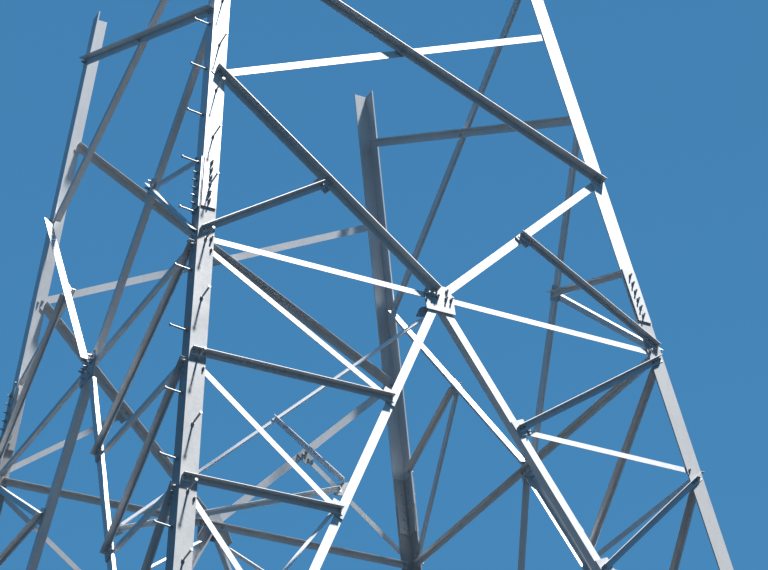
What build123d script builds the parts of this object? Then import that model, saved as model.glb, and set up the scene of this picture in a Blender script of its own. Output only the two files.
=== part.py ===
from build123d import *
from math import cos, radians, sin, sqrt
import os

os.makedirs("parts", exist_ok=True)

# Outline of the tower, heights above the ground under its feet
waist_height = 19000
waist_half = 2750
batter = 0.126
leg_top = 25380
shoulder_height = 11465
knee_height = 6500
front_rises = (2340, 4530)
side_rises = (3325, 5665)
tie_share = 0.343

# Rolled steel angles, width and thickness of a flange
leg_width = 180
leg_thick = 16
brace_width = 90
brace_thick = 8
girt_width = 70
girt_thick = 6
tie_width = 65
tie_thick = 6

# How bars sit on the legs and on one another
heel_room = 110
edge_room = 15
bar_gap = 5
node_spread = 110
brace_spread = 150
foot_node = 420
panel_steps = 5

# Gusset and packing plates, all as thick as a leg flange
gusset_half = 170
gusset_rise = 160
gusset_drop = 190
gusset_nose = 100
tab_length = 180
tab_reach = 120
tab_lift = 20

# Leg joints with their cover plates
joint_below_shoulder = 1405
joint_above_waist = 750
joint_gap = 3
cover_length = 700
cover_thick = 16
cover_width = 160
cover_edge = 10

# Hip bars across the corners, in one plane with the spreading braces at each corner
hip_shares = (0.026, 0.365, 0.765)
hip_width = 45
hip_bar_thick = 5
hip_thick = 8
hip_wing = 220
hip_reach = 160
hip_room_in = 60
hip_room_out = 90
root_gap = 2

# Feet
sole_side = 620
sole_thick = 30
sole_shift = 70
anchor_pitch = 460
anchor_hole = 42
rib_places = (45, 135)
rib_thick = 14
rib_height = 260
rib_length = 190
rib_nose = 40

slope = sqrt(1 + batter * batter)
leg_joints = (shoulder_height - joint_below_shoulder, waist_height + joint_above_waist)
sides = {"front": 0, "right": 90, "back": 180, "left": 270}
corners = {"front_left": 0, "front_right": 90, "back_right": 180, "back_left": 270}


def half(height):
    """Half the width over the leg heels at a height."""
    return waist_half + (waist_height - height) * batter


def face(turn, out=0):
    """Outer side of the leg flanges, with X along the face, Y up it and Z outward."""
    a = radians(turn)
    origin = Vector(sin(a), -cos(a), 0) * half(0)
    outward = Vector(sin(a), -cos(a), batter)
    return Plane(origin=origin, x_dir=(cos(a), sin(a), 0), z_dir=outward).offset(out)


def node(across, height):
    """Point on a face from its distance off the middle and its height."""
    return Vector(across, height * slope)


def gauge(height):
    """Distance off the middle at which bars meet the leg flange."""
    return half(height) - leg_width / 2


def between(a, b, share):
    """Point part of the way from a to b."""
    return a + (b - a) * share


def cut_back(start, end, width, stops):
    """Move the start of a bar so that its whole end stands clear of each line."""
    along = (end - start).normalized()
    travels = []
    for (base, other), clear in stops:
        across = Vector(-(other - base).Y, (other - base).X).normalized()
        if across.dot(along) < 0:
            across = -across
        corner = abs(across.dot(Vector(-along.Y, along.X))) * width / 2
        travels.append((clear + corner - across.dot(start - base)) / across.dot(along))
    return start + along * max(travels)


def heel_line(hand):
    """Line of the leg heel on the left (-1) or right (1) of a face."""
    return node(hand * half(0), 0), node(hand * half(leg_top), leg_top)


def bar(start, end, width, outer, start_stops, end_stops, heel_low=False):
    """Bar between two points, each end cut back from the lines listed for it."""
    begin = cut_back(start, end, width, start_stops)
    finish = cut_back(end, start, width, end_stops)
    return begin, finish, outer, heel_low


def bar_plane(base, depth, start, end, outer, heel_low):
    """Plane across a bar at one end, X toward the toe of its flat flange."""
    seat = base if outer else base.offset(-depth)
    along = (end - start).normalized()
    toe = Vector(along.Y, -along.X)
    if (toe.Y > 0) != heel_low:
        toe = -toe
    run = Vector(toe.Y, -toe.X) if outer else Vector(-toe.Y, toe.X)
    begin = start if run.dot(along) > 0 else end
    origin = seat.from_local_coords(begin)
    x_dir = seat.from_local_coords(toe) - seat.origin
    z_dir = seat.from_local_coords(run) - seat.origin
    return Plane(origin=origin, x_dir=x_dir, z_dir=z_dir)


def angle_points(width, thick):
    """Outline of a rolled angle about the middle of its flat flange."""
    heel = -width / 2
    toe = width / 2
    inner = heel + thick
    return [(heel, 0), (toe, 0), (toe, thick), (inner, thick), (inner, width), (heel, width)]


def angle_bars(base, depth, bars, width, thick):
    """Rolled angles lying on the outer side of a layer of plates and on its inner side."""
    with BuildPart() as angles:
        for start, end, outer, heel_low in bars:
            with BuildSketch(bar_plane(base, depth, start, end, outer, heel_low)):
                Polygon(*angle_points(width, thick), align=None)
            extrude(amount=(end - start).length)
    return angles


def leg_points(width, thick, inset=0):
    """Outline of a leg angle at the front left corner, its heel at the origin."""
    far = width
    near = inset
    deep = inset + thick
    return [(near, near), (far, near), (far, deep), (deep, deep), (deep, far), (near, far)]


def leg_length(turn, low, high, points):
    """Angle that follows the leaning corner line, cut level at both heights."""
    a = radians(turn)
    x_dir = Vector(cos(a), sin(a), 0)
    heel = Vector(-cos(a) + sin(a), -sin(a) - cos(a), 0) * half(low)
    lean = Vector(cos(a) - sin(a), sin(a) + cos(a), 0) * batter
    with BuildPart() as length:
        with BuildSketch(Plane(origin=heel + Vector(0, 0, low), x_dir=x_dir)):
            Polygon(*points, align=None)
        rise = lean + Vector(0, 0, 1)
        extrude(amount=(high - low) * rise.length, dir=rise.normalized())
    return length


def upper_levels(turn):
    """Heights at which the V braces and the crossed braces of a side meet the legs."""
    rises = front_rises if turn % 180 == 0 else side_rises
    return [waist_height + rise for rise in rises]


def upper_panel(turn):
    """Crossed braces above and V braces below one level, standing on the waist."""
    low, high = upper_levels(turn)
    middle = node(0, waist_height)
    centre = (node(0, 0), node(0, leg_top))
    waist = (node(-1, waist_height), node(1, waist_height))
    braces = []
    for hand in (-1, 1):
        outer = hand < 0
        room = edge_room if outer else heel_room
        foot_stop = (centre, bar_gap * 2) if outer else (waist, girt_width / 2 + bar_gap)
        corner = node(hand * gauge(low), low)
        braces.append(bar(middle, corner, brace_width, outer, [foot_stop], [(heel_line(hand), room)]))
        room = heel_room if outer else edge_room
        braces.append(bar(corner, node(-hand * gauge(high), high), brace_width, not outer,
                          [(heel_line(hand), room)], [(heel_line(-hand), room)]))
    return braces


def upper_ties(turn):
    """Short bars that steady the V braces from the legs."""
    low = upper_levels(turn)[0]
    middle = node(0, waist_height)
    ties = []
    for hand in (-1, 1):
        top = node(hand * gauge(low), low)
        point = between(middle, top, 0.5)
        clear = brace_width / 2 + bar_gap if hand < 0 else -brace_width / 2
        step = waist_height + node_spread
        ties.append(bar(point, node(hand * gauge(step), step), tie_width, True,
                        [((middle, top), clear)], [(heel_line(hand), edge_room)]))
        if turn % 180:
            level = waist_height + (low - waist_height) * tie_share
            clear = -brace_width / 2 if hand < 0 else brace_width / 2 + bar_gap
            ties.append(bar(point, node(hand * gauge(level), level), tie_width, False,
                            [((middle, top), clear)], [(heel_line(hand), heel_room)]))
    return ties


def lower_braces(top, bottom, leg_lift):
    """Two braces that spread from the middle of a level down to the legs."""
    middle = node(0, top)
    centre = (node(0, 0), node(0, leg_top))
    girt = (node(-1, top), node(1, top))
    braces = []
    for hand in (-1, 1):
        foot = bottom + leg_lift
        braces.append(bar(middle, node(hand * gauge(foot), foot), brace_width, False,
                          [(centre, bar_gap), (girt, girt_width / 2 + bar_gap)],
                          [(heel_line(hand), heel_room)], True))
    return braces


def lower_ties(top, bottom, leg_lift, steps):
    """Level and slanting bars between the legs and the spreading braces."""
    middle = node(0, top)
    step = (top - bottom) / steps
    ties = []
    for hand in (-1, 1):
        foot = node(hand * gauge(bottom + leg_lift), bottom + leg_lift)
        level_outer = hand < 0
        for count in range(1, steps):
            level = top - count * step
            share = (top - level) / (top - bottom - leg_lift)
            point = between(middle, foot, share)
            for outer, height in ((level_outer, level), (not level_outer, level + step - node_spread)):
                if outer == level_outer and count == steps - 1:
                    continue
                room = edge_room if outer else heel_room
                clear = -brace_width / 4 if outer else brace_width / 2 + bar_gap
                ties.append(bar(point, node(hand * gauge(height), height), tie_width, outer,
                                [((middle, foot), clear)], [(heel_line(hand), room)]))
    return ties


def knee_panel():
    """V braces from the shoulder down to the middle of the knee."""
    middle = node(0, knee_height)
    centre = (node(0, 0), node(0, leg_top))
    knee = (node(-1, knee_height), node(1, knee_height))
    top = shoulder_height - brace_spread
    braces = []
    for hand in (-1, 1):
        outer = hand < 0
        room = edge_room if outer else heel_room
        foot_stop = (centre, bar_gap * 2) if outer else (knee, girt_width / 2 + bar_gap)
        braces.append(bar(middle, node(hand * gauge(top), top), brace_width, outer,
                          [foot_stop], [(heel_line(hand), room)]))
    return braces


def knee_ties():
    """Bars that steady the V braces under the shoulder."""
    middle = node(0, knee_height)
    top = shoulder_height - brace_spread
    ties = []
    for hand in (-1, 1):
        corner = node(hand * gauge(top), top)
        point = between(middle, corner, 0.5)
        step = knee_height + node_spread
        clear = brace_width / 2 + bar_gap if hand < 0 else -brace_width / 2
        ties.append(bar(point, node(hand * gauge(step), step), tie_width, True,
                        [((middle, corner), clear)], [(heel_line(hand), edge_room)]))
        level = knee_height + (top - knee_height) * tie_share
        clear = -brace_width / 2 if hand < 0 else brace_width / 2 + bar_gap
        ties.append(bar(point, node(hand * gauge(level), level), tie_width, False,
                        [((middle, corner), clear)], [(heel_line(hand), heel_room)]))
    return ties


def girts():
    """Level bars at the waist and the knee."""
    return [bar(node(-gauge(level), level), node(gauge(level), level), girt_width, False,
                [(heel_line(-1), heel_room)], [(heel_line(1), heel_room)])
            for level in (waist_height, knee_height)]


def tab(point, along):
    """Corners of a packing plate on a brace, reaching toward the nearer leg."""
    hand = 1 if point.X > 0 else -1
    up = along.normalized() if along.Y > 0 else -along.normalized()
    out = Vector(hand * up.Y, -hand * up.X)
    low = up * (tab_lift - tab_length / 2)
    high = up * (tab_lift + tab_length / 2)
    near = out * (-brace_width / 2)
    far = out * tab_reach
    return [point + low + near, point + low + far, point + high + far, point + high + near]


def square(point, along, width):
    """Corners of a packing plate as wide as the bars that cross over it."""
    run = along.normalized() * (width / 2)
    rise = Vector(-run.Y, run.X)
    return [point - run - rise, point + run - rise, point + run + rise, point - run + rise]


def gusset(level):
    """Corners of the large plate where the middle braces meet a girt."""
    middle = node(0, level)
    outline = [(-gusset_half, -gusset_drop), (gusset_half, -gusset_drop), (gusset_half, gusset_nose / 2),
               (gusset_nose, gusset_rise), (-gusset_nose, gusset_rise), (-gusset_half, gusset_nose / 2)]
    return [middle + Vector(x, y) for x, y in outline]


def face_plates(turn):
    """Gussets and packing plates in the thickness of the leg flanges."""
    low, high = upper_levels(turn)
    outlines = [gusset(waist_height), gusset(knee_height)]
    share = gauge(low) / (gauge(low) + gauge(high))
    crossing = between(node(-gauge(low), low), node(gauge(high), high), share)
    outlines.append(square(crossing, node(gauge(high), high) - node(-gauge(low), low), brace_width))
    for hand in (-1, 1):
        for base, top in ((waist_height, low), (knee_height, shoulder_height - brace_spread)):
            corner = node(hand * gauge(top), top)
            outlines.append(tab(between(node(0, base), corner, 0.5), corner - node(0, base)))
        for top, bottom, lift in ((waist_height, shoulder_height, brace_spread),
                                  (knee_height, 0, foot_node)):
            foot = node(hand * gauge(bottom + lift), bottom + lift)
            for count in range(1, panel_steps):
                share = count * (top - bottom) / panel_steps / (top - bottom - lift)
                outlines.append(tab(between(node(0, top), foot, share), foot - node(0, top)))
    with BuildPart() as plates:
        for outline in outlines:
            with BuildSketch(face(turn, -leg_thick)):
                Polygon(*[(corner.X, corner.Y) for corner in outline], align=None)
            extrude(amount=leg_thick)
    return plates


def hip_plane(turn):
    """Plane through the spreading braces beside a corner, X level, Y up and Z out of the tower."""
    depth = -leg_thick - brace_thick - hip_thick / 2
    beside = (turn, turn + sides["left"])
    ends = [face(around, depth).from_local_coords(node(0, waist_height)) for around in beside]
    low = face(turn, depth).from_local_coords(spread_point(1))
    level = ends[0] - ends[1]
    return Plane(origin=(ends[0] + ends[1]) / 2, x_dir=level, z_dir=level.cross(ends[0] - low))


def spread_point(share):
    """Point on a left spreading brace between the waist and the shoulder, on its face."""
    foot = shoulder_height + brace_spread
    return between(node(0, waist_height), node(-gauge(foot), foot), share)


def hip_point(turn, hand, share):
    """Point where the spreading brace on one side of a corner meets the hip plane."""
    brace = face(turn, -leg_thick - brace_thick - hip_thick / 2)
    point = hip_plane(turn).to_local_coords(brace.from_local_coords(spread_point(share)))
    return Vector(hand * point.X, point.Y)


def corner_bars(turn, hand):
    """Bars across one corner, the long slanting one from the side given by hand."""
    here = [hip_point(turn, hand, share) for share in hip_shares]
    there = [hip_point(turn, -hand, share) for share in hip_shares]
    lines = {side: (hip_point(turn, side, 0), hip_point(turn, side, 1)) for side in (hand, -hand)}
    near_in = [(lines[hand], hip_room_in)]
    far_in = [(lines[-hand], hip_room_in)]
    near_out = [(lines[hand], hip_room_out)]
    far_out = [(lines[-hand], hip_room_out)]
    return [bar(here[0], there[1], hip_width, False, near_in, far_in),
            bar(here[1], there[2], hip_width, False, near_in, far_in),
            bar(here[1], there[1], hip_width, True, near_out, far_out),
            bar(here[2], there[2], hip_width, True, near_out, far_out),
            bar(between(here[0], there[1], 0.5), here[1], hip_width, True,
                [((here[0], there[1]), -hip_width / 4)], near_out)]


def wing(turn, side, share):
    """Corners of a hip plate on its plane, one edge along a spreading brace."""
    point = hip_point(turn, side, share)
    up = (hip_point(turn, side, 0) - hip_point(turn, side, 1)).normalized()
    reach = Vector(-side * up.Y, side * up.X) * hip_reach
    return [point - up * hip_wing / 2, point + up * hip_wing / 2,
            point + up * hip_wing / 3 + reach, point - up * hip_wing / 3 + reach]


def seat(side, share):
    """Corners of the part of a hip plate that lies on the flat flange of the brace."""
    spot = spread_point(share)
    spot = Vector(side * spot.X, spot.Y)
    up = (node(0, waist_height) - spot).normalized()
    toe = Vector(-side * up.Y, side * up.X)
    near = toe * (brace_thick + root_gap - brace_width / 2)
    far = toe * (brace_width / 2)
    run = up * (hip_wing / 2)
    return [spot + run + near, spot + run + far, spot - run + far, spot - run + near]


def corner_plates(turn, hand):
    """Bent plates that carry the hip bars on the spreading braces, and a packing plate."""
    spots = [(hand, share) for share in hip_shares] + [(-hand, share) for share in hip_shares[1:]]
    start = hip_point(turn, hand, hip_shares[0])
    end = hip_point(turn, -hand, hip_shares[1])
    outlines = [wing(turn, *spot) for spot in spots]
    outlines.append(square(between(start, end, 0.5), end - start, hip_width))
    with BuildPart() as plates:
        with BuildSketch(hip_plane(turn)):
            for outline in outlines:
                Polygon(*[(corner.X, corner.Y) for corner in outline], align=None)
        extrude(amount=hip_thick / 2, both=True)
        for side, share in spots:
            around = turn if side > 0 else turn + sides["left"]
            with BuildSketch(face(around, -leg_thick - brace_thick - hip_thick)):
                Polygon(*[(corner.X, corner.Y) for corner in seat(side, share)], align=None)
            extrude(amount=hip_thick)
    return plates


def leg_covers(joint):
    """Plates and inner angles that join the leg lengths at all four corners."""
    low = joint - cover_length / 2
    high = joint + cover_length / 2
    edge = [(cover_edge, -cover_thick), (cover_edge + cover_width, -cover_thick),
            (cover_edge + cover_width, 0), (cover_edge, 0)]
    flank = [(y, x) for x, y in edge]
    inner = leg_points(leg_width - cover_edge, cover_thick, leg_thick)
    with BuildPart() as covers:
        for turn in corners.values():
            for outline in (edge, flank, inner):
                add(leg_length(turn, low, high, outline).part)
    return covers


def foot(turn):
    """Sole plate with anchor holes, and ribs that stand against the leg."""
    a = radians(turn)
    x_dir = Vector(cos(a), sin(a), 0)
    y_dir = Vector(-sin(a), cos(a), 0)
    heel = (x_dir + y_dir) * -half(0)
    top = sole_thick + rib_height
    outline = [(-sole_thick * batter, sole_thick), (rib_length, sole_thick),
               (rib_length, sole_thick + rib_nose), (rib_nose - top * batter, top), (-top * batter, top)]
    with BuildPart() as sole:
        with BuildSketch(Plane(origin=heel + (x_dir + y_dir) * sole_shift, x_dir=x_dir)):
            Rectangle(sole_side, sole_side)
            with GridLocations(anchor_pitch, anchor_pitch, 2, 2):
                Circle(anchor_hole / 2, mode=Mode.SUBTRACT)
        extrude(amount=sole_thick)
        for along, inward in ((x_dir, y_dir), (y_dir, x_dir)):
            for place in rib_places:
                across = Vector(0, 0, 1).cross(inward)
                with BuildSketch(Plane(origin=heel + along * place, x_dir=-inward, z_dir=across)):
                    Polygon(*outline, align=None)
                extrude(amount=rib_thick / 2, both=True)
    return sole


pieces = {}
for name, turn in corners.items():
    pieces[f"foot_{name}"] = foot(turn)
    breaks = (sole_thick, *leg_joints, leg_top)
    for part_name, low, high in zip(("lower", "middle", "upper"), breaks, breaks[1:]):
        start = low if low == sole_thick else low + joint_gap / 2
        stop = high if high == leg_top else high - joint_gap / 2
        points = leg_points(leg_width, leg_thick)
        pieces[f"{part_name}_leg_{name}"] = leg_length(turn, start, stop, points)
for name, joint in zip(("lower", "upper"), leg_joints):
    pieces[f"{name}_leg_covers"] = leg_covers(joint)
with BuildPart() as pieces["hip_bars"]:
    for turn in corners.values():
        bars = corner_bars(turn, 1 if turn % 180 == 0 else -1)
        base = hip_plane(turn).offset(hip_thick / 2)
        add(angle_bars(base, hip_thick, bars, hip_width, hip_bar_thick).part)
with BuildPart() as pieces["hip_plates"]:
    for turn in corners.values():
        add(corner_plates(turn, 1 if turn % 180 == 0 else -1).part)
for name, turn in sides.items():
    base = face(turn)
    braces = upper_panel(turn) + lower_braces(waist_height, shoulder_height, brace_spread)
    braces += knee_panel() + lower_braces(knee_height, 0, foot_node)
    ties = upper_ties(turn) + lower_ties(waist_height, shoulder_height, brace_spread, panel_steps)
    ties += knee_ties() + lower_ties(knee_height, 0, foot_node, panel_steps)
    for layer, outer in (("outer", True), ("inner", False)):
        chosen = [b for b in braces if b[2] == outer]
        pieces[f"{name}_{layer}_braces"] = angle_bars(base, leg_thick, chosen, brace_width, brace_thick)
        chosen = [t for t in ties if t[2] == outer]
        pieces[f"{name}_{layer}_ties"] = angle_bars(base, leg_thick, chosen, tie_width, tie_thick)
    pieces[f"{name}_girts"] = angle_bars(base, leg_thick, girts(), girt_width, girt_thick)
    pieces[f"{name}_plates"] = face_plates(turn)

for name, piece in pieces.items():
    piece.part.label = name
    export_step(piece.part, f"parts/{name}.step")
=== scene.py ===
import bpy
from math import copysign, cos, pi, sin, sqrt
from mathutils import Matrix, Vector
from mathutils.bvhtree import BVHTree


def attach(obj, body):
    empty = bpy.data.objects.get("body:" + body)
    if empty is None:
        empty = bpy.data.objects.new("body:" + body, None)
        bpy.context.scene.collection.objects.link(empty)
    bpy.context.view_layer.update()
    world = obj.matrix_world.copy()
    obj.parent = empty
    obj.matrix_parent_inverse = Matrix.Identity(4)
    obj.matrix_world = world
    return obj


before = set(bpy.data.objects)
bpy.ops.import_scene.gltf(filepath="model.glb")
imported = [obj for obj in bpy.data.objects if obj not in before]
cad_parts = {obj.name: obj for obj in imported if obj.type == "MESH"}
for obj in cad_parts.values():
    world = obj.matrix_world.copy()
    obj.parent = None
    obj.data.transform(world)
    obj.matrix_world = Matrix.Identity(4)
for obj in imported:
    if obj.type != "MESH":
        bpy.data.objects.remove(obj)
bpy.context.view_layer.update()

# Outline of the tower in metres, the same as in the solids
waist_height = 19.0
waist_half = 2.75
batter = 0.126
leg_top = 25.38
leg_joints = (10.06, 19.75)
leg_thick = 0.016
brace_thick = 0.008
slope = sqrt(1 + batter * batter)
side_turns = {"front": 0, "right": 90, "back": 180, "left": 270}

# Bolt line of a leg from its heel, the low end of the spreading braces, the places of the hip bars down
# these braces, and the depth of the hip bars behind the side
gauge_line = 0.09
brace_foot = 11.615
hip_shares = (0.026, 0.365, 0.765)
hip_out = -0.028

# Sole plates, shifted in from the leg heel, and the pitch of their anchor holes
sole_thick = 0.03
sole_shift = 0.07
anchor_pitch = 0.46

# Two sizes of bolt: width across flats, washer radius, and least distance between neighbours
large_flats = 0.030
large_washer = 0.0185
large_spacing = 0.046
small_flats = 0.024
small_washer = 0.015
small_spacing = 0.040
washer_thick = 0.003

# Sides of round shapes, threads and hexagons, and the reach of a hexagon's corners for its width
round_sides = 12
thread_sides = 8
hex_sides = 6
corner_share = 1 / sqrt(3)

# Thickness of steel that bolts pass through
grip_least = 0.018
grip_most = 0.052
joint_grip_most = 0.062
hip_bar_grip = 0.011
hip_plate_grip = 0.014

# Rows of bolts: the first one's distance from the end of a bar, and the pitch
brace_row = (0.040, 0.065)
girt_row = (0.035, 0.060)
tie_row = (0.032, 0.055)
hip_row = (0.025, 0.045)
hip_plate_step = 0.05
joint_bolts = 6
joint_pitch = 0.107

# Search for a bolt's seat: how far outside and inside its lines start, how many run round the washer's
# rim, and by how much the steel's depth along them may differ
probe_reach = 0.12
rim_probes = 6
seat_flatness = 0.001

# Step bolts up one leg, which stand closer above the joint
climb_start = 2.99
climb_rise = 0.39
upper_rise = 0.345
climb_change = 19.2
climb_end = leg_top - 0.15
climb_reach = 0.1


def half(height):
    """Half the width over the leg heels at a height."""
    return waist_half + (waist_height - height) * batter


def outward(turn):
    """Direction square to one side of the tower."""
    a = turn * pi / 180
    return Vector((sin(a), -cos(a), batter)).normalized()


def on_face(turn, along, height, out=0.0):
    """Point on one side of the tower from its distance off the middle, its height and its depth."""
    a = turn * pi / 180
    facing = outward(turn)
    across = Vector((cos(a), sin(a), 0))
    up = facing.cross(across)
    foot = Vector((sin(a), -cos(a), 0)) * half(0) + facing * out
    return foot + across * along + up * height * slope


class Wire:
    """An output of a node, which can stand in an expression on values."""

    def __init__(self, nodes, socket):
        self.nodes = nodes
        self.socket = socket

    def side(self, name):
        """Another output of the same node."""
        return Wire(self.nodes, self.socket.node.outputs[name])

    def maths(self, operation, left, right):
        """Math node on two values."""
        return self.nodes.add("ShaderNodeMath", {"operation": operation}, {0: left, 1: right})

    def __add__(self, other):
        return self.maths("ADD", self, other)

    def __mul__(self, other):
        return self.maths("MULTIPLY", self, other)

    __radd__ = __add__
    __rmul__ = __mul__


class Nodes:
    """A node tree that is filled one node at a time."""

    def __init__(self, tree):
        self.tree = tree

    def add(self, kind, settings=None, inputs=None, output=0):
        """Node with its settings, the values or links of its sockets, and one of its outputs."""
        made = self.tree.nodes.new(kind)
        for name, value in (settings or {}).items():
            if name == "stops":
                self.fill_ramp(made.color_ramp, value)
            else:
                setattr(made, name, value)
        for name, value in (inputs or {}).items():
            self.feed(made.inputs[name], value)
        return Wire(self, made.outputs[output]) if len(made.outputs) else made

    def feed(self, socket, value):
        """Value or link into one socket, and each link of a list into one that takes several."""
        if isinstance(value, list):
            for one in value:
                self.tree.links.new(one.socket, socket)
        elif isinstance(value, Wire):
            self.tree.links.new(value.socket, socket)
        else:
            socket.default_value = value

    def fill_ramp(self, ramp, stops):
        """Stops of a colour ramp as pairs of place and colour."""
        while len(ramp.elements) < len(stops):
            ramp.elements.new(1.0)
        for element, (place, colour) in zip(ramp.elements, stops):
            element.position = place
            element.color = (*colour, 1.0)


def noise(nodes, place, scale, detail, roughness=0.5, output=0):
    """Noise in object coordinates."""
    return nodes.add("ShaderNodeTexNoise", {}, {"Vector": place, "Scale": scale, "Detail": detail,
                                                "Roughness": roughness}, output)


def rising(nodes, value, low, high):
    """Share that grows from none to all between two levels of a value."""
    return nodes.add("ShaderNodeValToRGB", {"stops": [(low, (0, 0, 0)), (high, (1, 1, 1))]}, {"Fac": value})


def mix(nodes, factor, first, second):
    """Colour between two colours."""
    return nodes.add("ShaderNodeMix", {"data_type": "RGBA", "clamp_factor": True},
                     {0: factor, 6: (*first, 1.0) if isinstance(first, tuple) else first,
                      7: (*second, 1.0)}, 2)


def shaded(tone, share):
    """Darker colour of the same hue."""
    return tuple(share * c for c in tone)


def zinc(name, tone, dull_tone, rough, metal, dull_share, streak_share, spangle_share):
    """Hot-dip zinc on steel: crystal patches, duller clouds and faint runs down the piece."""
    crystal_shade, streak_shade = 0.88, 0.78
    crystal_rough, dull_rough, rough_drop = 0.06, 0.10, 0.04
    wobble_size, crystal_height = 0.02, 0.5
    material = bpy.data.materials.new(name)
    material.use_nodes = True
    material.node_tree.nodes.clear()
    nodes = Nodes(material.node_tree)
    place = nodes.add("ShaderNodeTexCoord", output="Object")
    wobble = noise(nodes, place, scale=18.0, detail=2.0, output="Color")
    shifted = nodes.add("ShaderNodeVectorMath", {"operation": "MULTIPLY_ADD"},
                        {0: wobble, 1: (wobble_size,) * 3, 2: place})
    crystals = nodes.add("ShaderNodeTexVoronoi", {}, {"Vector": shifted, "Scale": 42.0}, "Color")
    crystal_tone = nodes.add("ShaderNodeSeparateColor", {}, {"Color": crystals})
    clouds = noise(nodes, place, scale=1.7, detail=5.0, roughness=0.6)
    dull = rising(nodes, clouds, low=0.38, high=0.66)
    tall = nodes.add("ShaderNodeMapping", {}, {"Vector": place, "Scale": (26.0, 26.0, 0.9)})
    runs = noise(nodes, tall, scale=1.0, detail=3.0)
    streaks = rising(nodes, runs, low=0.52, high=0.74)
    grain = noise(nodes, place, scale=160.0, detail=3.0)
    patch = mix(nodes, crystal_tone * spangle_share, tone, shaded(tone, crystal_shade))
    clouded = mix(nodes, dull * dull_share, patch, dull_tone)
    stained = mix(nodes, streaks * streak_share, clouded, shaded(dull_tone, streak_shade))
    roughness = crystal_tone * crystal_rough + dull * dull_rough + (rough - rough_drop)
    bump = nodes.add("ShaderNodeBump", {}, {"Strength": 0.06, "Distance": 0.0003,
                                            "Height": crystal_tone * crystal_height + grain})
    shader = nodes.add("ShaderNodeBsdfPrincipled", {}, {"Base Color": stained, "Roughness": roughness,
                                                        "Metallic": metal, "Normal": bump})
    nodes.add("ShaderNodeOutputMaterial", {}, {"Surface": shader})
    return material


leg_zinc = zinc("leg_zinc", (0.27, 0.275, 0.28), (0.235, 0.24, 0.245), rough=0.58, metal=0.06,
                dull_share=0.50, streak_share=0.30, spangle_share=0.45)
upper_leg_zinc = zinc("upper_leg_zinc", (0.52, 0.525, 0.53), (0.46, 0.465, 0.47), rough=0.48, metal=0.45,
                      dull_share=0.50, streak_share=0.25, spangle_share=0.45)
brace_zinc = zinc("brace_zinc", (0.53, 0.53, 0.53), (0.47, 0.475, 0.48), rough=0.47, metal=0.45,
                  dull_share=0.40, streak_share=0.22, spangle_share=0.40)
tie_zinc = zinc("tie_zinc", (0.51, 0.51, 0.51), (0.45, 0.455, 0.46), rough=0.47, metal=0.45,
                dull_share=0.45, streak_share=0.25, spangle_share=0.40)
# Hip bars: zinc painted much paler than the other bars. This is a painted highlight that stands in for
# sunlight the braces' shadows keep off them.
hip_zinc_painted_light = zinc("hip_zinc_painted_light", (0.74, 0.74, 0.74), (0.68, 0.685, 0.69), rough=0.46, metal=0.40,
                dull_share=0.30, streak_share=0.15, spangle_share=0.30)
plate_zinc = zinc("plate_zinc", (0.36, 0.365, 0.37), (0.31, 0.315, 0.32), rough=0.50, metal=0.45,
                  dull_share=0.50, streak_share=0.25, spangle_share=0.50)
foot_zinc = zinc("foot_zinc", (0.36, 0.36, 0.35), (0.29, 0.28, 0.265), rough=0.58, metal=0.10,
                 dull_share=0.60, streak_share=0.45, spangle_share=0.45)
bolt_zinc = zinc("bolt_zinc", (0.38, 0.38, 0.38), (0.31, 0.305, 0.30), rough=0.46, metal=0.60,
                 dull_share=0.50, streak_share=0.10, spangle_share=0.20)

for name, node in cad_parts.items():
    if name.startswith("foot_"):
        finish = foot_zinc
    elif name.endswith("_leg_covers") or name.endswith("_plates"):
        finish = plate_zinc
    elif name.startswith("upper_leg_"):
        finish = upper_leg_zinc
    elif "_leg_" in name:
        finish = leg_zinc
    elif name.endswith("_braces") or name.endswith("_girts"):
        finish = brace_zinc
    elif name == "hip_bars":
        finish = hip_zinc_painted_light
    else:
        finish = tie_zinc
    node.data.materials.clear()
    node.data.materials.append(finish)


def solid_points(node):
    """Corners of each separate solid in a node's mesh."""
    mesh = node.data
    keys = [tuple(round(c, 5) for c in v.co) for v in mesh.vertices]
    group = {key: key for key in keys}

    def root(key):
        while group[key] != key:
            group[key] = group[group[key]]
            key = group[key]
        return key

    for polygon in mesh.polygons:
        first = root(keys[polygon.vertices[0]])
        for index in polygon.vertices[1:]:
            group[root(keys[index])] = first
    solids = {}
    for key in group:
        solids.setdefault(root(key), []).append(Vector(key))
    return list(solids.values())


def bar_line(points, facing):
    """Two ends and the direction of the middle line of a bar's flat flange."""
    far = max(points, key=lambda p: (p - points[0]).length)
    near = max(points, key=lambda p: (p - far).length)
    rough_way = (far - near).normalized()
    order = sorted(points, key=lambda p: p.dot(rough_way))
    count = len(order) // 2
    start = sum(order[:count], Vector()) / count
    end = sum(order[count:], Vector()) / count
    way = (end - start).normalized()
    across = way.cross(facing)
    offsets = [(p - start).dot(across) for p in points]
    shift = across * (max(offsets) + min(offsets)) / 2
    return start + shift, end + shift, way


def steel_tree():
    """Every solid as one tree that can be searched for what a bolt passes through."""
    corners, faces = [], []
    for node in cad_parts.values():
        first = len(corners)
        corners += [v.co.copy() for v in node.data.vertices]
        faces += [[first + index for index in polygon.vertices] for polygon in node.data.polygons]
    return BVHTree.FromPolygons(corners, faces)


steel = steel_tree()


def surfaces(point, facing):
    """Depths at which a line through a point enters the steel from outside and from inside."""
    outer = steel.ray_cast(point + facing * probe_reach, -facing, 2 * probe_reach)
    inner = steel.ray_cast(point - facing * probe_reach, facing, 2 * probe_reach)
    if outer[0] is None or inner[0] is None:
        return None
    return (outer[0] - point).dot(facing), (inner[0] - point).dot(facing)


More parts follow.
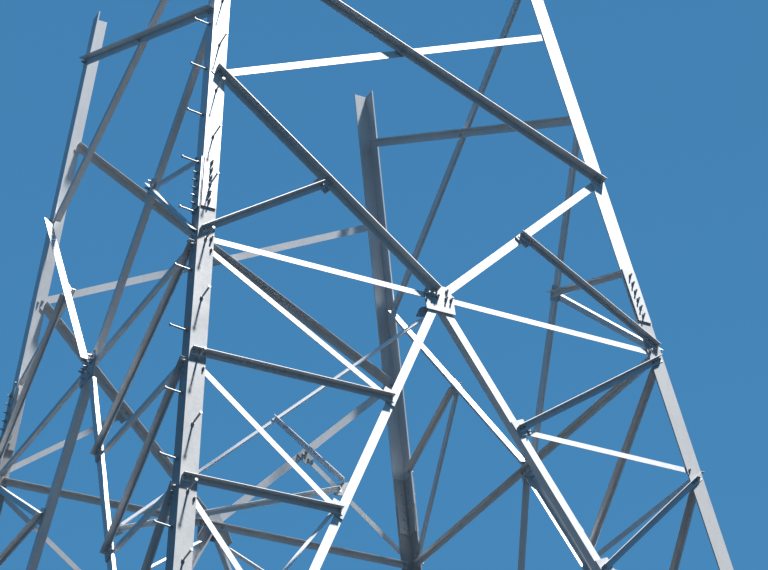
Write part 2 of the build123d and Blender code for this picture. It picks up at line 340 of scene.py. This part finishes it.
def bolt_seat(point, facing, room, least, most):
    """Depths of the two seats of a bolt, or nothing where its washers don't lie flat on two layers."""
    found = surfaces(point, facing)
    if found is None or not least < found[0] - found[1] < most:
        return None
    side = facing.orthogonal().normalized()
    other = facing.cross(side)
    for count in range(rim_probes):
        a = count * 2 * pi / rim_probes
        around = surfaces(point + (side * cos(a) + other * sin(a)) * room, facing)
        if around is None or max(abs(around[0] - found[0]), abs(around[1] - found[1])) > seat_flatness:
            return None
    return found


class BoltSet:
    """Bolts of one size: where their heads and their nuts sit and which way they point."""

    def __init__(self, room, spacing):
        self.room = room
        self.spacing = spacing
        self.heads = []
        self.nuts = []

    def place(self, point, facing, least=grip_least, most=grip_most):
        """One bolt along facing through a point, its nut outside, if the steel there takes it."""
        found = bolt_seat(point, facing, self.room, least, most)
        if found is None:
            return
        nut = point + facing * found[0]
        if any((nut - other).length < self.spacing for other in taken):
            return
        self.nuts.append((nut, facing))
        self.heads.append((point + facing * found[1], -facing))
        taken.append(nut)


# Step bolts on the front left leg, by turns on its two flanges
steps = []
height = climb_start
turn, hand = 270, 1
while height < climb_end:
    facing = outward(turn)
    seat = on_face(turn, hand * (half(height) - gauge_line), height)
    found = steel.ray_cast(seat + facing * climb_reach, -facing, 2 * climb_reach)
    if found[0] is not None:
        steps.append((found[0], facing))
    height += climb_rise if height < climb_change else upper_rise
    turn, hand = (0, -1) if turn else (270, 1)

# Bolts, each clear of the step bolts and of those placed before it
taken = [seat for seat, facing in steps]
large_bolts = BoltSet(large_washer, large_spacing)
small_bolts = BoltSet(small_washer, small_spacing)


def bolt_bar(bolts, points, facing, row, depth, least=grip_least):
    """Bolts along a bar, counted in from each end, wherever it lies on other steel."""
    first, pitch = row
    start, end, way = bar_line(points, facing)
    length = (end - start).length
    for origin, inward in ((start, way), (end, -way)):
        count = 0
        while first + count * pitch < length / 2:
            place = origin + inward * (first + count * pitch)
            bolts.place(place + facing * (depth - place.dot(facing)), facing, least)
            count += 1


for side, turn in side_turns.items():
    facing = outward(turn)
    middle = on_face(turn, 0, 0).dot(facing) - leg_thick / 2
    for part, bolts, row in (("outer_braces", large_bolts, brace_row),
                             ("inner_braces", large_bolts, brace_row),
                             ("girts", large_bolts, girt_row),
                             ("outer_ties", small_bolts, tie_row),
                             ("inner_ties", small_bolts, tie_row)):
        for points in solid_points(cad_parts[f"{side}_{part}"]):
            bolt_bar(bolts, points, facing, row, middle)
    for joint in leg_joints:
        for hand in (-1, 1):
            for step in range(joint_bolts):
                height = joint + (step - (joint_bolts - 1) / 2) * joint_pitch
                place = on_face(turn, hand * (half(height) - gauge_line), height, -leg_thick / 2)
                large_bolts.place(place, facing, most=joint_grip_most)

# Plane of the hip bars at the front left corner, and bolts on the bars of all four corners
hip_top = on_face(0, 0, waist_height, hip_out)
hip_side = on_face(270, 0, waist_height, hip_out)
hip_low = on_face(0, gauge_line - half(brace_foot), brace_foot, hip_out)
hip_facing = (hip_side - hip_top).cross(hip_low - hip_top).normalized()
hip_facing *= copysign(1, hip_facing.z)
hip_depth = hip_top.dot(hip_facing)
for points in solid_points(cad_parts["hip_bars"]):
    middle = sum(points, Vector()) / len(points)
    lean = Vector((copysign(hip_facing.x, middle.x), copysign(hip_facing.y, middle.y), hip_facing.z))
    bolt_bar(small_bolts, points, lean, hip_row, hip_depth, least=hip_bar_grip)

# Bolts that hold the hip plates on the spreading braces
for turn in side_turns.values():
    facing = outward(turn)
    depth = -leg_thick - brace_thick
    top = on_face(turn, 0, waist_height, depth)
    for hand in (-1, 1):
        low = on_face(turn, hand * (half(brace_foot) - gauge_line), brace_foot, depth)
        down = (low - top).normalized()
        for share in hip_shares:
            for step in (-hip_plate_step, hip_plate_step):
                small_bolts.place(top + (low - top) * share + down * step, facing, least=hip_plate_grip)


def instance_tree(name, sizes):
    """Empty tree of geometry nodes with its sizes as named inputs."""
    tree = bpy.data.node_groups.new(name, "GeometryNodeTree")
    tree.interface.new_socket("Places", in_out="INPUT", socket_type="NodeSocketGeometry")
    kinds = {bool: "NodeSocketBool", int: "NodeSocketInt", float: "NodeSocketFloat"}
    for label, value in sizes.items():
        socket = tree.interface.new_socket(label, in_out="INPUT", socket_type=kinds[type(value)])
        socket.default_value = value
    tree.interface.new_socket("Finish", in_out="INPUT", socket_type="NodeSocketMaterial")
    tree.interface.new_socket("Made", in_out="OUTPUT", socket_type="NodeSocketGeometry")
    return tree


def raised(nodes, shape, height):
    """Shape moved up its own axis."""
    shift = nodes.add("ShaderNodeCombineXYZ", {}, {"Z": height})
    return nodes.add("GeometryNodeTransform", {}, {"Geometry": shape, "Translation": shift})


def cylinder(nodes, sides, radius, depth):
    """Cylinder of few sides about its own middle."""
    return nodes.add("GeometryNodeMeshCylinder", {},
                     {"Vertices": sides, "Radius": radius, "Depth": depth}, "Mesh")


def drum(nodes, sides, radius, depth, base=0.0):
    """Cylinder that stands on a height above its seat."""
    return raised(nodes, cylinder(nodes, sides, radius, depth), depth * 0.5 + base)


def spread(nodes, group, shape):
    """Shape put on every place, turned to its facing, spun at random, and made real."""
    facing = nodes.add("GeometryNodeInputNamedAttribute", {"data_type": "FLOAT_VECTOR"}, {"Name": "facing"})
    turned = nodes.add("FunctionNodeAlignRotationToVector", {"axis": "Z"}, {"Vector": facing})
    angle = nodes.add("FunctionNodeRandomValue", {"data_type": "FLOAT"},
                      {2: 0.0, 3: 2 * pi, "Seed": group.side("Seed")}, 1)
    spin = nodes.add("FunctionNodeAxisAngleToRotation", {}, {"Axis": (0, 0, 1), "Angle": angle})
    rotation = nodes.add("FunctionNodeRotateRotation", {"rotation_space": "LOCAL"},
                         {"Rotation": turned, "Rotate By": spin})
    placed = nodes.add("GeometryNodeInstanceOnPoints", {},
                       {"Points": group.side("Places"), "Instance": shape, "Rotation": rotation})
    real = nodes.add("GeometryNodeRealizeInstances", {}, {"Geometry": placed})
    finished = nodes.add("GeometryNodeSetMaterial", {}, {"Geometry": real, "Material": group.side("Finish")})
    nodes.add("NodeGroupOutput", {}, {"Made": finished})


def fastener_tree():
    """Washer with a hexagon head or nut on it, and the end of a thread where wanted."""
    flat_share, crown_share, crown_width = 0.82, 0.18, 0.86
    tree = instance_tree("fastener", {"Across flats": 0.03, "Height": 0.013, "Washer radius": 0.018,
                                      "Washer thickness": 0.003, "Thread radius": 0.01, "Thread length": 0.02,
                                      "Threaded": True, "Seed": 4})
    nodes = Nodes(tree)
    group = nodes.add("NodeGroupInput")
    thick = group.side("Washer thickness")
    height = group.side("Height")
    washer = drum(nodes, round_sides, group.side("Washer radius"), thick)
    hexagon = cylinder(nodes, hex_sides, group.side("Across flats") * corner_share, height * flat_share)
    crown = nodes.add("GeometryNodeExtrudeMesh", {"mode": "FACES"},
                      {"Mesh": hexagon, "Selection": hexagon.side("Top"),
                       "Offset Scale": height * crown_share}, "Mesh")
    head = nodes.add("GeometryNodeScaleElements", {"domain": "FACE"},
                     {"Geometry": crown, "Selection": crown.side("Top"), "Scale": crown_width})
    head = raised(nodes, head, height * (flat_share / 2) + thick)
    thread = drum(nodes, thread_sides, group.side("Thread radius"), group.side("Thread length"),
                  thick + height)
    nut = nodes.add("GeometryNodeJoinGeometry", {}, {"Geometry": [washer, head, thread]})
    plain = nodes.add("GeometryNodeJoinGeometry", {}, {"Geometry": [washer, head]})
    chosen = nodes.add("GeometryNodeSwitch", {"input_type": "GEOMETRY"},
                       {"Switch": group.side("Threaded"), "False": plain, "True": nut})
    spread(nodes, group, chosen)
    return tree


def step_tree():
    """Round step bolt with a button end and a nut on the flange."""
    tree = instance_tree("step_bolt", {"Rod radius": 0.01, "Rod length": 0.18, "Button radius": 0.017,
                                       "Button length": 0.01, "Nut across flats": 0.03, "Nut height": 0.016,
                                       "Seed": 7})
    nodes = Nodes(tree)
    group = nodes.add("NodeGroupInput")
    length = group.side("Rod length")
    rod = drum(nodes, round_sides, group.side("Rod radius"), length)
    button = drum(nodes, round_sides, group.side("Button radius"), group.side("Button length"), length)
    nut = drum(nodes, hex_sides, group.side("Nut across flats") * corner_share,
               group.side("Nut height"))
    shape = nodes.add("GeometryNodeJoinGeometry", {}, {"Geometry": [rod, button, nut]})
    spread(nodes, group, shape)
    return tree


def scatter(name, tree, places, sizes):
    """Piece made by a tree on a list of places and facings, as a plain mesh."""
    points = bpy.data.meshes.new(name)
    points.from_pydata([place for place, facing in places], [], [])
    attribute = points.attributes.new("facing", "FLOAT_VECTOR", "POINT")
    attribute.data.foreach_set("vector", [c for place, facing in places for c in facing])
    piece = bpy.data.objects.new(name, points)
    bpy.context.collection.objects.link(piece)
    modifier = piece.modifiers.new("spread", "NODES")
    modifier.node_group = tree
    sockets = {item.name: item.identifier for item in tree.interface.items_tree if item.in_out == "INPUT"}
    for label, value in {**sizes, "Finish": bolt_zinc}.items():
        modifier[sockets[label]] = value
    bpy.context.view_layer.update()
    made = bpy.data.meshes.new_from_object(piece.evaluated_get(bpy.context.evaluated_depsgraph_get()))
    piece.modifiers.clear()
    piece.data = made
    made.name = name
    if "facing" in made.attributes:
        made.attributes.remove(made.attributes["facing"])
    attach(piece, "root")


fastener = fastener_tree()
large = {"Across flats": large_flats, "Washer radius": large_washer, "Washer thickness": washer_thick}
small = {"Across flats": small_flats, "Washer radius": small_washer, "Washer thickness": washer_thick}
scatter("large_bolt_heads", fastener, large_bolts.heads,
        {**large, "Height": 0.013, "Threaded": False, "Seed": 3})
scatter("large_bolt_nuts", fastener, large_bolts.nuts,
        {**large, "Height": 0.017, "Thread radius": 0.010, "Thread length": 0.028, "Threaded": True,
         "Seed": 5})
scatter("small_bolt_heads", fastener, small_bolts.heads,
        {**small, "Height": 0.010, "Threaded": False, "Seed": 9})
scatter("small_bolt_nuts", fastener, small_bolts.nuts,
        {**small, "Height": 0.014, "Thread radius": 0.008, "Thread length": 0.014, "Threaded": True,
         "Seed": 11})
scatter("step_bolts", step_tree(), steps, {"Rod length": 0.175, "Rod radius": 0.010})

# Anchor bolts that hold the sole plates down
anchor_reach = half(0) - sole_shift
anchor_half = anchor_pitch / 2
anchors = [(Vector((sx * anchor_reach + dx, sy * anchor_reach + dy, sole_thick)), Vector((0, 0, 1)))
           for sx in (-1, 1) for sy in (-1, 1)
           for dx in (-anchor_half, anchor_half) for dy in (-anchor_half, anchor_half)]
scatter("anchor_nuts", fastener, anchors,
        {"Across flats": 0.055, "Height": 0.029, "Washer radius": 0.036, "Washer thickness": 0.006,
         "Thread radius": 0.018, "Thread length": 0.045, "Threaded": True, "Seed": 2})

# Round floor, a little wider than the feet
floor_radius = 9.5
floor_sides = 96
floor_tone = (0.11, 0.13, 0.15, 1)
floor_rough = 0.9
floor_mesh = bpy.data.meshes.new("floor")
angles = [count * 2 * pi / floor_sides for count in range(floor_sides)]
rim = [(floor_radius * cos(a), floor_radius * sin(a), 0) for a in angles]
floor_mesh.from_pydata(rim, [], [tuple(range(floor_sides))])
floor = bpy.data.objects.new("floor", floor_mesh)
bpy.context.collection.objects.link(floor)
floor_finish = bpy.data.materials.new("floor_finish")
floor_finish.use_nodes = True
floor_shader = floor_finish.node_tree.nodes["Principled BSDF"]
floor_shader.inputs["Base Color"].default_value = floor_tone
floor_shader.inputs["Roughness"].default_value = floor_rough
floor_mesh.materials.append(floor_finish)

# Surround: dark blue-grey below, pale at eye level and blue above
world = bpy.data.worlds.new("surround")
bpy.context.scene.world = world
world.use_nodes = True
world.node_tree.nodes.clear()
nodes = Nodes(world.node_tree)
view = nodes.add("ShaderNodeTexCoord", output="Generated")
rise = nodes.add("ShaderNodeSeparateXYZ", {}, {"Vector": view}, "Z")
tone = nodes.add("ShaderNodeValToRGB", {"stops": [(0.0, (0.035, 0.07, 0.11)), (0.34, (0.05, 0.10, 0.15)),
                                                  (0.50, (0.22, 0.30, 0.38)), (0.64, (0.070, 0.265, 0.52)),
                                                  (0.90, (0.05, 0.195, 0.42))]},
                 {"Fac": rise * 0.5 + 0.5})
glow = nodes.add("ShaderNodeBackground", {}, {"Color": tone, "Strength": 1.0})
nodes.add("ShaderNodeOutputWorld", {}, {"Surface": glow})

# Key light, high in front on the right
to_light = Vector((0.60, -0.70, 2.41)).normalized()
key_light = bpy.data.lights.new("key", "SUN")
key_light.energy = 12.3
key_light.angle = 0.06
key_light.color = (1.0, 0.985, 0.96)
key = bpy.data.objects.new("key", key_light)
bpy.context.collection.objects.link(key)
key.rotation_euler = to_light.to_track_quat("Z", "Y").to_euler()
bpy.context.scene.view_settings.view_transform = "Standard"

# Camera: low, to the left of the front side, looking up at the waist, with a long lens. The focal length
# is in pixels of a picture of the given width
camera_place = (-12.271, -22.825, 3.985)
yaw, pitch, roll = 0.5247, 0.5737, -0.0524
focal_pixels = 2700.7
picture_pixels = 768
sensor_width = 36
look = Vector((sin(yaw) * cos(pitch), cos(yaw) * cos(pitch), sin(pitch)))
level = Vector((cos(yaw), -sin(yaw), 0))
above = level.cross(look)
right = level * cos(roll) + above * sin(roll)
top = above * cos(roll) - level * sin(roll)
lens = bpy.data.cameras.new("camera")
lens.lens = focal_pixels / picture_pixels * sensor_width
lens.sensor_width = sensor_width
lens.clip_end = 500
camera = bpy.data.objects.new("camera", lens)
bpy.context.collection.objects.link(camera)
turned = Matrix((right, top, -look)).transposed().to_4x4()
camera.matrix_world = Matrix.Translation(camera_place) @ turned
bpy.context.scene.camera = camera
